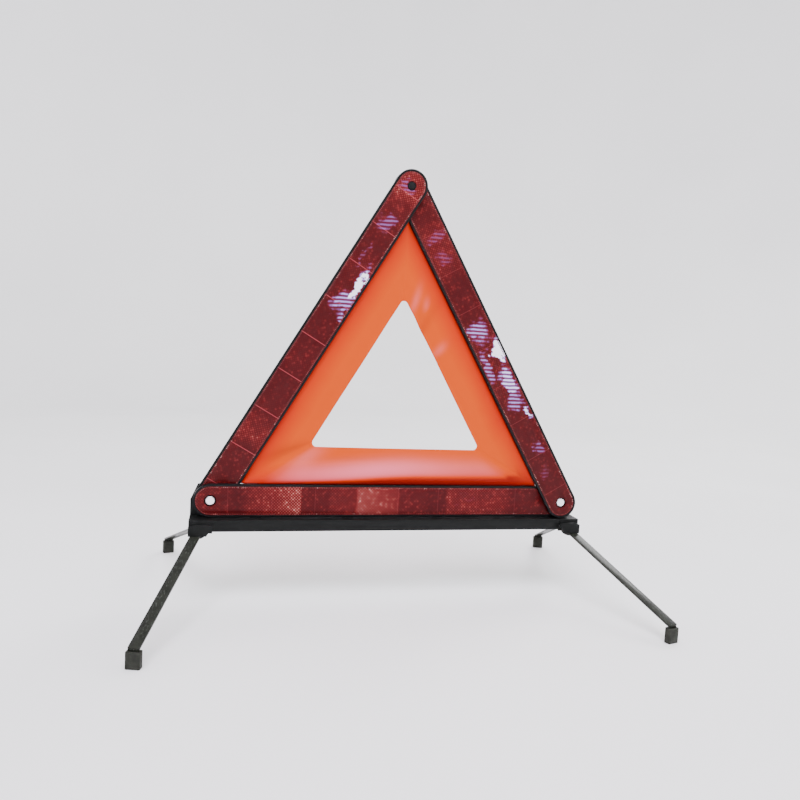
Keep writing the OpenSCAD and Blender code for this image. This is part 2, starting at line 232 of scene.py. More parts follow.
# %% [markdown]
# ## Metals
# The legs are strip steel with a thin dark lacquer, rolled lengthwise, so a stretched noise gives
# faint lines along the strip where the lacquer has worn. Rivets, screws and washers are zinc plated:
# bright, nearly white, with small dents from the setting tool.

# %% Lacquered strip steel
def lacquered_steel():
    """Dark lacquer over rolled steel strip."""
    material, tree = blank_material("lacquered_strip_steel")
    place = object_place(tree)
    mottle = noise(tree, place, 9, 6.0, Roughness=0.6)
    speckle = noise(tree, place, 1.1, 3.0)
    rolled = add(tree, "ShaderNodeMapping", {"Vector": place, "Scale": (1.0, 0.08, 1.0)})
    streaks = noise(tree, rolled.outputs["Vector"], 1.6, 3.0)
    lacquer = ramp(tree, mottle, (0.3, "#151612"), (0.7, "#252721"))
    flecked = blend(tree, ramp(tree, speckle, (0.55, 0.0), (0.75, 0.5)), lacquer, "#363931")
    worn = blend(tree, ramp(tree, streaks, (0.56, 0.0), (0.8, 0.5)), flecked, "#5c5f5a")
    principled(tree, {
        "Base Color": worn, "Roughness": 0.42, "IOR": 1.5, "Specular IOR Level": 0.06,
        "Coat Weight": 0.3, "Coat Roughness": 0.16, "Normal": relief(tree, speckle, 0.04, 0.4)})
    return material


leg_steel = lacquered_steel()

# %% Zinc plating
def zinc_plating(name, tone, dull, polish):
    """Bright zinc: a metal with small tool marks. Two tones and a (low, high) roughness."""
    material, tree = blank_material(name)
    marks = noise(tree, object_place(tree), 2.5, 3.0)
    principled(tree, {
        "Base Color": blend(tree, marks, dull, tone), "Metallic": 1.0,
        "Roughness": remap(tree, marks, NOISE_BAND, polish), "Normal": relief(tree, marks, 0.12, 0.3)})
    return material


rivet_zinc = zinc_plating("polished_zinc", "#ffffff", "#f2f3f8", (0.2, 0.34))
screw_zinc = zinc_plating("dull_zinc", "#c9ccd0", "#9b9fa5", (0.28, 0.45))

# %% [markdown]
# ## Rubber
# The shoes are soft black rubber. Rubber scatters light in its surface, so it looks flat and a
# little dusty: high roughness, a coarse noise for dust, and a fine one for the texture of the mould.

# %% Rubber
def moulded_rubber():
    """Black rubber with dust in it."""
    material, tree = blank_material("moulded_rubber")
    place = object_place(tree)
    dust = noise(tree, place, 6, 5.0, Roughness=0.65)
    grain = noise(tree, place, 0.7, 2.0)
    principled(tree, {
        "Base Color": ramp(tree, dust, (0.35, "#161711"), (0.7, "#2a2c25")),
        "Roughness": 0.72, "IOR": 1.52, "Specular IOR Level": 0.25,
        "Normal": relief(tree, grain, 0.1, 0.5)})
    return material


shoe_rubber = moulded_rubber()

# %% [markdown]
# ## Moulded edges on the engineering parts
# A computer model has knife edges, and a moulding or a pressing never does: its small radii catch
# the light and draw its outline. So most parts are copied from the frame, their triangles
# are joined back into whole faces, and a bevel rounds each sharp edge by a real radius.
# The copy then stands for the engineering part and rides on the same body.

# %% A rounded copy of a part
SAME_POINT = 0.001 * MM
FLAT_WITHIN = math.radians(0.6)     # triangles that bend less are one face
SHARP_BEYOND = math.radians(32)     # edges that bend more are rounded


def piece(name, mesh, body, material, slot, *stands_for):
    """Links a mesh as a finished piece that rides on a body and may stand for engineering parts."""
    made = bpy.data.objects.new(name, mesh)
    bpy.context.scene.collection.objects.link(made)
    mesh.materials.clear()
    mesh.materials.append(material)
    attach(made, body)
    if stands_for:
        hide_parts(*stands_for)
    return made


def settled(maker):
    """The plain mesh that an object's modifiers give; the object itself is removed."""
    view = bpy.context.evaluated_depsgraph_get()
    mesh = bpy.data.meshes.new_from_object(maker.evaluated_get(view), depsgraph=view)
    bpy.data.objects.remove(maker)
    return mesh


def whole_faces(node):
    """A copy of an engineering part's mesh, with its triangles joined into whole faces."""
    shape = bmesh.new()
    shape.from_mesh(NODES[node].data)
    bmesh.ops.remove_doubles(shape, verts=shape.verts, dist=SAME_POINT)
    bmesh.ops.dissolve_limit(
        shape, angle_limit=FLAT_WITHIN, verts=shape.verts, edges=shape.edges)
    mesh = bpy.data.meshes.new(node + "_rounded")
    shape.to_mesh(mesh)
    shape.free()
    return mesh


def rounded(node, radius, material, segments=2):
    """Replaces an engineering part by a copy with rounded edges."""
    maker = bpy.data.objects.new("maker", whole_faces(node))
    bpy.context.scene.collection.objects.link(maker)
    maker.data.polygons.foreach_set("use_smooth", [True] * len(maker.data.polygons))
    bevel = maker.modifiers.new("radius", "BEVEL")
    bevel.width = radius
    bevel.segments = segments
    bevel.limit_method = "ANGLE"
    bevel.angle_limit = SHARP_BEYOND
    bevel.harden_normals = True
    return piece(node + "_finished", settled(maker), BODY_OF[node], material, SLOT_OF[node], node)


# %% Trays, rail, housings, discs, legs, shoes and fixings
LEG_PLACES = ["front_left", "front_right", "rear_left", "rear_right"]
ROUNDED = [
    (0.55 * MM, tray_polystyrene, ["bottom_tray", "left_tray", "right_tray"]),
    (0.5 * MM, rail_abs, ["base_rail"] + [place + "_hub_disc" for place in LEG_PLACES]),
    (0.7 * MM, rail_abs, ["left_housing", "right_housing"]),
    (0.2 * MM, tray_polystyrene, ["bottom_foil_strip", "left_foil_strip", "right_foil_strip"]),
    (0.5 * MM, tray_polystyrene, ["top_stud"]),
    (0.35 * MM, leg_steel, [place + "_leg" for place in LEG_PLACES]),
    (0.9 * MM, shoe_rubber, [place + "_shoe" for place in LEG_PLACES]),
    (0.3 * MM, screw_zinc, ["tray_screws", "housing_screws", "leg_pivot_rivets"]),
    (0.1 * MM, screw_zinc, ["pivot_washers", "leg_washers"]),
]
for radius, material, names in ROUNDED:
    for name in names:
        made = rounded(name, radius, material)
        print(made.name, len(made.data.polygons), "faces")

# %% [markdown]
# ## Arm frames
# Lenses, prisms and rivets are all laid out along an arm: X runs from its pivot, Z across it, and -Y
# looks at the driver. Three matrices carry that layout to the bottom, left and right arm. They come
# from the joints, whose axes lean a little so that the arms can lie parallel when they are folded.

# %% Arm frames
JOINTS = {joint["name"]: joint for joint in frame["joints"]}
OPEN_ANGLE = math.radians(60)
left_pivot = Vector(JOINTS["left_fold"]["pos_m"])
right_pivot = Vector(JOINTS["right_fold"]["pos_m"])
SPAN = right_pivot.x - left_pivot.x
PIVOT_HEIGHT = left_pivot.z
ARM_FRAMES = {
    "bottom": Matrix.Translation((left_pivot.x, 0, PIVOT_HEIGHT)),
    "left": Matrix.Translation(left_pivot)
            @ Matrix.Rotation(-OPEN_ANGLE, 4, Vector(JOINTS["left_fold"]["axis"])),
    "right": Matrix.Translation(right_pivot)
             @ Matrix.Rotation(OPEN_ANGLE, 4, Vector(JOINTS["right_fold"]["axis"]))
             @ Matrix.Scale(-1, 4, (1, 0, 0)),
}
tray_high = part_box("bottom_tray")[1]
ARM_RADIUS = tray_high.z - PIVOT_HEIGHT
TRAY_BACK = tray_high.y
lens_low, lens_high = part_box("bottom_lens")
LENS_RADIUS = lens_high.z - PIVOT_HEIGHT
LENS_FRONT = lens_low.y
for label, size in (("span", SPAN), ("arm width", 2 * ARM_RADIUS), ("lens width", 2 * LENS_RADIUS)):
    print(label, round(size / MM, 1), "mm")

# %% [markdown]
# ## Prismatic reflector
# A reflector is red acrylic: smooth in front, with a lattice of tiny prisms on its back. Each prism
# sends a different bit of light back, so the eye sees a deep red field full of glitter, which is drawn
# here as painted glints. The lattice changes direction from one block of 46 mm to the next: some blocks
# are painted paler, for the light their prisms send back, with thin seams between them. Where the
# prisms face a window they send back whole patches of violet daylight, drawn as painted reflections.
# All of it follows the arm, so it reads a UV map in metres: U along the arm, V across it.

# %% Prism field
PRISM_PITCH = 2.3 * MM  # the real prisms are about half this size, too fine to show
BLOCK_LENGTH = 46 * MM
FIRST_SEAM = 18 * MM
HALF_SEAM = 0.6 * MM


def prism_field(tree, uv, along, paleness):
    """Colour and height of the lattice, with painted glints and painted shade on each prism; paleness is ramp
    stops over the share of the arm's length, painted for the light the prisms send back.
    """
    lattice = add(tree, "ShaderNodeMapping", {"Vector": uv, "Rotation": (0, 0, math.radians(45))})
    cells = add(tree, "ShaderNodeTexVoronoi", {
        "Vector": lattice.outputs["Vector"], "Scale": 1 / PRISM_PITCH, "Randomness": 0.0},
        voronoi_dimensions="2D", distance="CHEBYCHEV")
    painted_glint = add(tree, "ShaderNodeTexWhiteNoise", {"Vector": cells.outputs["Position"]},
                noise_dimensions="2D").outputs["Value"]
    drift = noise(tree, uv, 14, 3.0)
    # Painted light: the paleness of each block and the glints of single prisms stand for light the prisms send
    # back
    level = ramp(tree, chain(tree, along, ("DIVIDE", SPAN)), *paleness)
    painted_sparkle = chain(tree, painted_glint, ("POWER", 5.0), ("MULTIPLY", drift), ("MULTIPLY", 0.8))
    painted_sparkle = chain(tree, level, ("MULTIPLY", 0.6), ("ADD", 0.3), ("MULTIPLY", painted_sparkle))
    cloud = chain(tree, drift, ("MULTIPLY", 0.12))
    # Painted shade: every prism is drawn darker towards its edges, which shows as a regular lattice in the pale
    # blocks
    painted_facet_shade = chain(tree, cells.outputs["Distance"], ("MULTIPLY", -2.2), ("ADD", 1.25))
    painted_brightness = chain(tree, level, ("MULTIPLY", painted_facet_shade), ("ADD", painted_sparkle), ("ADD", cloud))
    tone = ramp(tree, painted_brightness, (0.0, "#340509"), (0.14, "#480a0d"), (0.4, "#741f1f"),
                (0.7, "#a05850"), (1.0, "#cf9a90"))
    return tone, cells.outputs["Distance"]


def seam_lines(tree, along, tone, strength):
    """The field with a thin pale seam across the arm at every block."""
    place = chain(tree, along, ("SUBTRACT", FIRST_SEAM), ("DIVIDE", BLOCK_LENGTH), ("FRACT", 0.0),
                  ("SUBTRACT", 0.5), ("ABSOLUTE", 0.0))
    line = remap(tree, place, (0.5 - HALF_SEAM / BLOCK_LENGTH, 0.5), (0.0, strength))
    return blend(tree, line, tone, "#b3444a")

# %% Painted patches of reflected daylight in the prisms
TEAR = 33 * MM          # how far a full step of the noise would move a patch's outline
PATCH_EDGE = 2.2        # steepness of a patch from its outline inwards
ROW_HEIGHT = 4.2 * MM   # from one level line to the next
SOLID_FROM = 0.72       # a patch stronger than this shows no lines


def painted_window_reflection(tree, uv, place, patches):
    """Ragged patches of painted window reflection, each given as (share, across, half length, half width,
    strength).
    """
    ragged = add(tree, "ShaderNodeTexNoise", {
        "Vector": uv, "Scale": 1 / 0.013, "Detail": 4.0, "Roughness": 0.55}).outputs
    push = vector_math(tree, "SUBTRACT", ragged["Color"], (0.5, 0.5, 0.5))
    torn = vector_math(tree, "ADD", uv, vector_math(tree, "MULTIPLY", push, (TEAR, TEAR, TEAR)))
    painted_reflection_mask = 0.0
    for share, across, half_length, half_width, strength in patches:
        offset = vector_math(tree, "SUBTRACT", torn, (share * SPAN, across * MM, 0))
        size = vector_math(tree, "LENGTH", vector_math(
            tree, "MULTIPLY", offset, (1 / (half_length * MM), 1 / (half_width * MM), 0)))
        bump = chain(tree, size, ("MULTIPLY", -1.0), ("ADD", 1.0), ("MULTIPLY", PATCH_EDGE))
        painted_reflection_mask = chain(tree, clamped(tree, bump), ("MULTIPLY", strength), ("MAXIMUM", painted_reflection_mask))
    # The prisms stand in level rows, so each painted reflection breaks up into level lines
    height = add(tree, "ShaderNodeSeparateXYZ", {"Vector": place}).outputs["Z"]
    wobble = chain(tree, ragged["Fac"], ("MULTIPLY", 3.0))
    rows = chain(tree, height, ("MULTIPLY", 2 * math.pi / ROW_HEIGHT), ("ADD", wobble), ("SINE", 0.0),
                 ("MULTIPLY", 0.4), ("ADD", 0.62))
    solid = clamped(tree, chain(tree, painted_reflection_mask, ("SUBTRACT", SOLID_FROM), ("MULTIPLY", 3.0)))
    broken = clamped(tree, chain(tree, rows, ("ADD", solid)))
    return chain(tree, painted_reflection_mask, ("MULTIPLY", broken))

# %% Reflector acrylic
def reflector_acrylic(arm, paleness, patches):
    """Glossy red acrylic over prisms, with the painted pale blocks and painted window reflections of one arm."""
    material, tree = blank_material("prismatic_acrylic_" + arm)
    uv = add(tree, "ShaderNodeUVMap", uv_map="along_arm").outputs["UV"]
    along = add(tree, "ShaderNodeSeparateXYZ", {"Vector": uv}).outputs["X"]
    tone, height = prism_field(tree, uv, along, paleness)
    tone = seam_lines(tree, along, tone, SEAM_STRENGTH[arm])
    painted_reflection_mask = painted_window_reflection(tree, uv, object_place(tree), patches)
    # Painted reflection: violet daylight drawn into the colour, not reflected from a lamp
    sky = ramp(tree, painted_reflection_mask, (0.12, "#7c2c46"), (0.36, "#84589a"), (0.62, "#a596d8"), (0.92, "#f7f4ff"))
    # The moulded front is flat only to a few hundredths of a millimetre, so reflections wander
    swell = noise(tree, uv, 40, 1.0)
    principled(tree, {
        "Base Color": blend(tree, chain(tree, painted_reflection_mask, ("MULTIPLY", 1.6), ("MINIMUM", 1.0)), tone, sky),
        "Roughness": 0.5, "IOR": 1.49, "Specular IOR Level": 0.06,
        "Normal": relief(tree, height, 0.3, 0.4), "Coat Weight": 0.12, "Coat Roughness": 0.06,
        "Coat IOR": 1.49, "Coat Normal": relief(tree, swell, 1.2, 0.4)})
    return material


SEAM_STRENGTH = {"bottom": 0.12, "left": 0.75, "right": 0.2}
# Share of the arm's length and paleness there, a painted brightness for the light the prisms send back
PAINTED_PALE_BLOCKS = {
    "bottom": [(0.0, 0.14), (0.075, 0.03), (0.1, 0.2), (0.17, 0.36), (0.238, 0.62), (0.242, 0.12),
               (0.315, 0.1), (0.322, 0.22), (0.392, 0.2), (0.398, 0.58), (0.46, 0.44), (0.512, 0.34),
               (0.516, 0.14), (0.59, 0.1), (0.6, 0.03), (0.65, 0.04), (0.655, 0.24), (0.83, 0.22),
               (0.85, 0.06), (1.0, 0.08)],
    "left": [(0.0, 0.16), (0.1, 0.05), (0.17, 0.08), (0.2, 0.3), (0.27, 0.1), (0.4, 0.02), (0.43, 0.1),
             (0.5, 0.04), (0.62, 0.04), (0.75, 0.14), (0.8, 0.03), (0.95, 0.16), (0.965, 0.4),
             (1.0, 0.36)],
    "right": [(0.0, 0.03), (0.15, 0.04), (0.25, 0.05), (0.4, 0.14), (0.55, 0.16), (0.6, 0.06),
              (0.72, 0.04), (0.76, 0.2), (0.86, 0.24), (0.9, 0.1), (1.0, 0.2)],
}
# Painted window reflections: share of the arm's length; then across, half length and half width in millimetres;
# and strength
PAINTED_WINDOW_REFLECTIONS = {
    "bottom": [(0.72, 4, 14, 3, 0.1)],
    "left": [(0.7, -10, 26, 8, 1.0), (0.645, -4, 17, 12, 0.62), (0.605, -11, 12, 6, 0.6),
             (0.775, 4, 20, 3, 0.25), (0.88, -1, 14, 11, 0.4), (0.99, 5, 10, 9, 0.35)],
    "right": [(0.56, 0, 16, 14, 0.62), (0.485, 9, 20, 7, 1.0), (0.46, -8, 24, 7, 0.56),
              (0.39, 6, 23, 9, 0.76), (0.335, 3, 14, 12, 0.58), (0.287, 11, 8, 5, 0.85),
              (0.18, 4, 9, 7, 0.4), (0.11, 0, 8, 8, 0.22), (0.85, 0, 8, 13, 0.28),
              (0.785, 0, 11, 10, 0.25)],
}
acrylic = {arm: reflector_acrylic(arm, PAINTED_PALE_BLOCKS[arm], PAINTED_WINDOW_REFLECTIONS[arm]) for arm in PAINTED_PALE_BLOCKS}
for arm, material in acrylic.items():
    print(material.name, len(material.node_tree.nodes), "nodes,", len(PAINTED_WINDOW_REFLECTIONS[arm]), "patches")

# %% Lens plates with a map along each arm
def map_along_arm(mesh, to_arm):
    """Writes a UV map in metres: U along the arm from its pivot, V across it."""
    layer = mesh.uv_layers.new(name="along_arm")
    flat = np.empty(len(mesh.vertices) * 3)
    mesh.vertices.foreach_get("co", flat)
    turned = np.array([to_arm @ Vector(p) for p in flat.reshape(-1, 3)])
    corner = np.empty(len(mesh.loops), int)
    mesh.loops.foreach_get("vertex_index", corner)
    layer.data.foreach_set("uv", turned[corner][:, (0, 2)].ravel())


for arm, to_world in ARM_FRAMES.items():
    plate = rounded(f"{arm}_lens", 0.4 * MM, acrylic[arm])
    map_along_arm(plate.data, to_world.inverted())
    print(plate.name, len(plate.data.polygons), "faces")

# %% [markdown]
# ## The bright edge of each reflector
# Along its border a reflector carries one row of larger prisms, which show as a line of bright
# beads beside the black rim. A row that follows a path is work for Geometry Nodes: the path becomes a
# curve, points are set out at the pitch, a four-sided pyramid goes on each point, and it is turned to
# follow the path. The result is made a plain mesh, one for each arm.

# %% Pyramids along a path
def path_tree(name, inputs):
    """A Geometry Nodes tree that runs on a path; returns it, its inputs and the path as a curve."""
    tree = bpy.data.node_groups.new(name, "GeometryNodeTree")
    socket = tree.interface.new_socket
    socket("Geometry", in_out="OUTPUT", socket_type="NodeSocketGeometry")
    socket("Geometry", in_out="INPUT", socket_type="NodeSocketGeometry")
    for label, kind in inputs.items():
        socket(label, in_out="INPUT", socket_type="NodeSocket" + kind)
    given = add(tree, "NodeGroupInput").outputs
    path = add(tree, "GeometryNodeMeshToCurve", {"Mesh": given["Geometry"]})
    return tree, given, path.outputs["Curve"]


def put_on_points(tree, given, points, shape, rotation):
    """Ends a tree: a shape on every point, made real, in the given material."""
    placed = add(tree, "GeometryNodeInstanceOnPoints", {
        "Points": points, "Instance": shape, "Rotation": rotation})
    real = add(tree, "GeometryNodeRealizeInstances", {"Geometry": placed.outputs["Instances"]})
    dressed = add(tree, "GeometryNodeSetMaterial", {
        "Geometry": real.outputs["Geometry"], "Material": given["Material"]})
    add(tree, "NodeGroupOutput", {"Geometry": dressed.outputs["Geometry"]})
    return tree


def pyramid_row_tree():
    """Pyramids at a pitch along a path, pointing outwards."""
    tree, given, path = path_tree("pyramid_row", {
        "Pitch": "Float", "Base radius": "Float", "Height": "Float", "Outwards": "Vector",
        "Material": "Material"})
    points = add(tree, "GeometryNodeResampleCurve", {"Curve": path, "Length": given["Pitch"]},
                 mode="LENGTH")
    pyramid = add(tree, "GeometryNodeMeshCone", {
        "Vertices": 4, "Radius Top": 0.0, "Radius Bottom": given["Base radius"],
        "Depth": given["Height"]})
    tangent = add(tree, "GeometryNodeInputTangent").outputs["Tangent"]
    stand = add(tree, "FunctionNodeAlignRotationToVector", {"Vector": given["Outwards"]}, axis="Z")
    along = add(tree, "FunctionNodeAlignRotationToVector", {
        "Rotation": stand.outputs["Rotation"], "Vector": tangent}, axis="X", pivot_axis="Z")
    return put_on_points(tree, given, points.outputs["Curve"], pyramid.outputs["Mesh"],
                         along.outputs["Rotation"])


def run_nodes(base, tree, values):
    """Runs a tree on a mesh, with inputs given by name, and returns the plain mesh."""
    maker = bpy.data.objects.new("maker", base)
    bpy.context.scene.collection.objects.link(maker)
    run = maker.modifiers.new("nodes", "NODES")
    run.node_group = tree
    for item in tree.interface.items_tree:
        if item.in_out == "INPUT" and item.name in values:
            run[item.identifier] = values[item.name]
    return settled(maker)


pyramid_row = pyramid_row_tree()

# %% Bead acrylic
def bead_acrylic():
    """The border prisms: clear facets over red, with painted glints on a few of them."""
    material, tree = blank_material("bead_acrylic")
    place = object_place(tree)
    cell_of = vector_math(tree, "SNAP", place, (2.4 * MM, 2.4 * MM, 2.4 * MM))
    # Painted glints: single cells of the border prisms are drawn pale pink
    painted_glint = add(tree, "ShaderNodeTexWhiteNoise", {"Vector": cell_of}).outputs["Value"]
    painted_brightness = chain(tree, painted_glint, ("MULTIPLY", noise(tree, place, 50, 2.0)))
    principled(tree, {
        "Base Color": ramp(tree, painted_brightness, (0.04, "#54181c"), (0.42, "#783232"), (0.8, "#c89c96")),
        "Roughness": 0.25, "IOR": 1.49, "Specular IOR Level": 0.2})
    return material


beads = bead_acrylic()

# %% Bead rows on the three arms
BEAD_INSET = 0.95 * MM
BEAD_AHEAD = 0.02 * MM  # the bases of the pyramids are this far in front of the lens
BEAD_PITCH = 1.9 * MM
BEAD_RADIUS = 0.78 * MM
BEAD_HEIGHT = 0.3 * MM


def stadium(radius, depth, steps=24):
    """Points round an arm at a radius from its middle line, in the arm's own frame."""
    ring = []
    for centre, start in ((SPAN, -90), (0, 90)):
        for i in range(steps + 1):
            angle = math.radians(start + 180 * i / steps)
            ring.append((centre + radius * math.cos(angle), depth, radius * math.sin(angle)))
    return ring


def path_mesh(points, closed, to_world):
    """A mesh of edges only, for a tree to turn into a curve."""
    links = [(i, i + 1) for i in range(len(points) - 1)]
    if closed:
        links.append((len(points) - 1, 0))
    mesh = bpy.data.meshes.new("path")
    mesh.from_pydata([to_world @ Vector(p) for p in points], links, [])
    return mesh


for arm, to_world in ARM_FRAMES.items():
    ring = stadium(LENS_RADIUS - BEAD_INSET, LENS_FRONT - BEAD_AHEAD)
    outwards = (to_world.to_3x3() @ Vector((0, -1, 0))).normalized()
    row = run_nodes(path_mesh(ring, True, to_world), pyramid_row, {
        "Pitch": BEAD_PITCH, "Base radius": BEAD_RADIUS, "Height": BEAD_HEIGHT,
        "Outwards": outwards, "Material": beads})
    made = piece(f"{arm}_edge_beads", row, BODY_OF[f"{arm}_lens"], beads, SLOT_OF[f"{arm}_lens"])
    print(made.name, len(row.polygons), "faces")

# %% [markdown]
# ## Pivot rivets
# The two arms turn on tubular rivets whose heads are pressed to a low dome. A dome is a shape of
# revolution, so it is turned from a profile: a list of (radius, height) steps swept round the axis.

# %% Turned shapes
def turned_mesh(profile, steps=40):
    """A closed solid of revolution about Y, from (radius, y) pairs that start and end on the axis."""
    shape = bmesh.new()
    line = [shape.verts.new((r, y, 0)) for r, y in profile]
    edges = [shape.edges.new(pair) for pair in zip(line, line[1:])]
    bmesh.ops.spin(
        shape, geom=line + edges, axis=(0, 1, 0), cent=(0, 0, 0), steps=steps, angle=2 * math.pi)
    bmesh.ops.remove_doubles(shape, verts=shape.verts, dist=0.002 * MM)
    bmesh.ops.recalc_face_normals(shape, faces=shape.faces)
    mesh = bpy.data.meshes.new("turned")
    shape.to_mesh(mesh)
    shape.free()
    mesh.shade_smooth()
    return mesh


def dome(radius, base, rise, stem_radius, stem_end, points=8):
    """Profile of a rivet: a stem, a flat underside and a domed head towards -Y."""
    shoulder = 0.75 * rise
    crown = [(radius - shoulder + shoulder * math.sin(a),
              base - rise + shoulder - shoulder * math.cos(a))
             for a in np.linspace(math.pi / 2, 0, points)]
    underside = [(0, stem_end), (stem_radius, stem_end), (stem_radius, base),
                 (radius - 0.2 * MM, base), (radius, base - 0.15 * rise)]
    return underside + crown + [(radius * 0.3, base - rise), (0, base - rise)]


HEAD_RISE = 1.8 * MM
STEM_RADIUS = 2.4 * MM
FLARE_DEPTH = 0.8 * MM
FLARE_RADIUS = 4 * MM
FLARE_FACE_RADIUS = 3.3 * MM
FLARE_RIM = 0.35 * MM
for side in ("left", "right"):
    low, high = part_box(f"{side}_pivot_rivet")
    centre = (low + high) / 2
    flare = high.y - FLARE_DEPTH
    mesh = turned_mesh(dome((high.x - low.x) / 2, low.y + HEAD_RISE, HEAD_RISE, STEM_RADIUS, flare))
    tail = turned_mesh([
        (0, high.y), (FLARE_FACE_RADIUS, high.y), (FLARE_RADIUS, high.y - FLARE_RIM),
        (FLARE_RADIUS, flare), (0, flare)])
    joined = bmesh.new()
    joined.from_mesh(mesh)
    joined.from_mesh(tail)
    bmesh.ops.translate(joined, verts=joined.verts, vec=(centre.x, 0, centre.z))
    joined.to_mesh(mesh)
    joined.free()
    made = piece(f"{side}_pivot_rivet_domed", mesh, BODY_OF[f"{side}_pivot_rivet"], rivet_zinc,
                 SLOT_OF[f"{side}_pivot_rivet"], f"{side}_pivot_rivet")
    print(made.name, "at", round(centre.x / MM, 1), round(centre.z / MM, 1))

# %% [markdown]
# ## Small rivets on the clamping strips
# Strips on the backs of the trays clamp the film, each with a row of small domed rivets.
# The tree sets out a given number of points on a straight path and puts a turned rivet on each one.

# %% Rivets along a line
def rivet_row_tree():
    """A number of copies of one object along a path, all turned alike."""
    tree, given, path = path_tree("rivet_row", {
        "Count": "Int", "Rivet": "Object", "Facing": "Rotation", "Material": "Material"})
    points = add(tree, "GeometryNodeResampleCurve", {"Curve": path, "Count": given["Count"]},
                 mode="COUNT")
    shape = add(tree, "GeometryNodeObjectInfo", {"Object": given["Rivet"]})
    return put_on_points(tree, given, points.outputs["Curve"], shape.outputs["Geometry"],
                         given["Facing"])


rivet_row = rivet_row_tree()
# (radius, y) pairs: a stem through the tray floor and the strip, then a low head behind the tray
STEM_START = 0.75 * MM
small_rivet = turned_mesh([
    (0, STEM_START), (1 * MM, STEM_START), (1 * MM, TRAY_BACK), (1.9 * MM, TRAY_BACK),
    (1.85 * MM, TRAY_BACK + 0.2 * MM), (1.4 * MM, TRAY_BACK + 0.45 * MM),
    (0.7 * MM, TRAY_BACK + 0.55 * MM), (0, TRAY_BACK + 0.58 * MM)], steps=20)
pattern = bpy.data.objects.new("small_rivet", small_rivet)
bpy.context.scene.collection.objects.link(pattern)
rivets_low, rivets_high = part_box("bottom_strip_rivets")
RIVET_HEAD_RADIUS = (rivets_high.z - rivets_low.z) / 2
RIVET_LINE = (rivets_high.z + rivets_low.z) / 2 - PIVOT_HEIGHT
FIRST_RIVET = rivets_low.x - left_pivot.x + RIVET_HEAD_RADIUS
RIVET_COUNT = 6
for arm, to_world in ARM_FRAMES.items():
    across = RIVET_LINE if arm == "bottom" else -RIVET_LINE
    ends = [(FIRST_RIVET, 0, across), (SPAN - FIRST_RIVET, 0, across)]
    facing = to_world.to_3x3()
    if facing.determinant() < 0:
        facing = facing @ Matrix.Scale(-1, 3, (1, 0, 0))
    row = run_nodes(path_mesh(ends, False, to_world), rivet_row, {
        "Count": RIVET_COUNT, "Rivet": pattern, "Facing": facing.to_euler(),
        "Material": screw_zinc})
    made = piece(f"{arm}_strip_rivets_domed", row, BODY_OF[f"{arm}_strip_rivets"], screw_zinc,
                 SLOT_OF[f"{arm}_strip_rivets"], f"{arm}_strip_rivets")
    print(made.name, len(row.polygons), "faces")
bpy.data.objects.remove(pattern)

# %% [markdown]
# ## Fluorescent film
# The film is PVC, cut as a triangle with a triangular window and clamped along all three arms.
# It is slack: the band under the window bellies out between two creases that run from the window's
# corners to the arms, and small puckers start at the window. Its dye glows, and the glow travels inside
# the film to its cut edges, so the colour is painted redder and deeper at the arms. Painted sheen and
# painted shade make the folds pale pink where they face up and deep red where they face down.
#
# The mesh is a set of rings between the outer cut and the window, so its lines follow the pull of the
# film. Each point gets its depth from the planes of the three arms and then the slack is added.

# %% Film outline
HEM = 4.2 * MM              # width of film under a clamping strip
EDGE_GAP = 0.06 * MM        # film clear of a tray where it isn't clamped
TUCK_LENGTH = 0.8 * MM      # length over which the hem begins
CLAMP_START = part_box("bottom_foil_strip")[0].x - left_pivot.x + 0.6 * MM
BAND = 41 * MM              # width of film from an arm to the window
WINDOW_RADIUS = 4.5 * MM
WINDOW_CENTRES = ARM_RADIUS + BAND + WINDOW_RADIUS  # inset of the centres of its round corners
CORNER_SHARE = 0.1          # share of a side that each half corner takes
CORNERS = np.array([[-SPAN / 2, 0.0], [SPAN / 2, 0.0], [0.0, SPAN * math.sin(OPEN_ANGLE)]])


def corner_at(k, inset):
    """Corner k of the pivot triangle after all its sides move in by a distance."""
    centre = CORNERS.mean(axis=0)
    reach = np.linalg.norm(CORNERS[k] - centre)
    return centre + (CORNERS[k] - centre) * (1 - 2 * inset / reach)


def side_line(k, inset):
    """Start and end of side k after it moves in, and its directions along and outwards."""
    start, end = corner_at(k, inset), corner_at((k + 1) % 3, inset)
    along = (end - start) / np.linalg.norm(end - start)
    return start, end, along, np.array([along[1], -along[0]])


def outer_cut(k, share):
    """A point of the outer cut: side k from its first corner, share 0 to 1."""
    start, end, direction, outwards = side_line(k, ARM_RADIUS + EDGE_GAP)
    point = start + (end - start) * share
    along = np.dot(point - CORNERS[k], direction)
    reach = min(along, SPAN - along) - CLAMP_START
    return point + outwards * HEM * min(1.0, max(0.0, reach / TUCK_LENGTH))


def swung(vector, angle):
    """A plane vector turned by an angle."""
    return np.array([vector[0] * math.cos(angle) - vector[1] * math.sin(angle),
                     vector[1] * math.cos(angle) + vector[0] * math.sin(angle)])


def window_edge(k, share):
    """A point of the window's edge opposite outer_cut(k, share), with its round corners."""
    start, end, _, outwards = side_line(k, WINDOW_CENTRES)
    if share < CORNER_SHARE:
        return start + WINDOW_RADIUS * swung(outwards, math.radians(60) * (share / CORNER_SHARE - 1))
    if share > 1 - CORNER_SHARE:
        past = (share - 1 + CORNER_SHARE) / CORNER_SHARE
        return end + WINDOW_RADIUS * swung(outwards, math.radians(60) * past)
    middle = (share - CORNER_SHARE) / (1 - 2 * CORNER_SHARE)
    return start + (end - start) * middle + WINDOW_RADIUS * outwards

# %% Depth of the taut film
HEM_DEPTH = TRAY_BACK - 1.0 * MM
